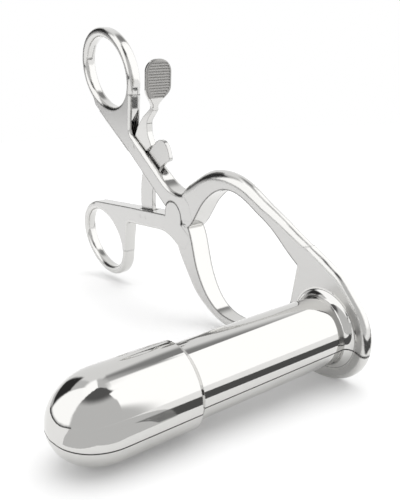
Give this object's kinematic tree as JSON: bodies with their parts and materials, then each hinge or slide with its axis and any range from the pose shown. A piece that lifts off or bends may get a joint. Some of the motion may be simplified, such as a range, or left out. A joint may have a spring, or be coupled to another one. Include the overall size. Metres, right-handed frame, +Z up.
{
  "type": "bivalve speculum",
  "caption": "Hand-held bivalve speculum: two mirrored levers with finger rings swing a split blunt-nosed tube open, and a ratchet bar with a sprung thumb release holds it.",
  "frame": {"origin": "on the axis of the closed tube, in the flat rear face of the flange where one looks in", "axes": "+Y out of the mouth of the tube, back towards the user, so the blades point along -Y; +Z up as the instrument stands on a table; -X from the tube towards the pivot and the finger rings"},
  "size_m": [0.1869, 0.0907, 0.1162],
  "materials": {
    "lever_steel": "satin flats and bright polished round edges",
    "blade_steel": "mirror polished",
    "screw_steel": "polished",
    "ratchet_steel": "satin ground faces",
    "release_steel": "polished, with a cross-cut thumb pad",
    "spring_steel": "polished spring strip"
  },
  "bodies": {
    "lower_half": {"lower_lever": "lever_steel", "lower_blade": "blade_steel", "pivot_screw": "screw_steel", "ratchet_bar": "ratchet_steel", "ratchet_rivets": "ratchet_steel"},
    "upper_half": {"upper_lever": "lever_steel", "upper_blade": "blade_steel", "latch_pin": "screw_steel", "leaf_spring": "spring_steel", "leaf_screw": "screw_steel"},
    "release": {"latch_lever": "release_steel"}
  },
  "joints": [
    {"name": "lever_pivot", "type": "hinge", "parent": "lower_half", "child": "upper_half", "pos_m": [-0.07637, -0.00175, 0.02382], "axis": [0, -1, 0], "range_deg": [0, 32]},
    {"name": "release_pivot", "type": "hinge", "parent": "upper_half", "child": "release", "pos_m": [-0.10333, -0.00175, 0.04969], "axis": [0, -1, 0], "range_deg": [0, 10], "stiffness_Nm_per_rad": 0.2, "deforming": ["leaf_spring"]}
  ]
}
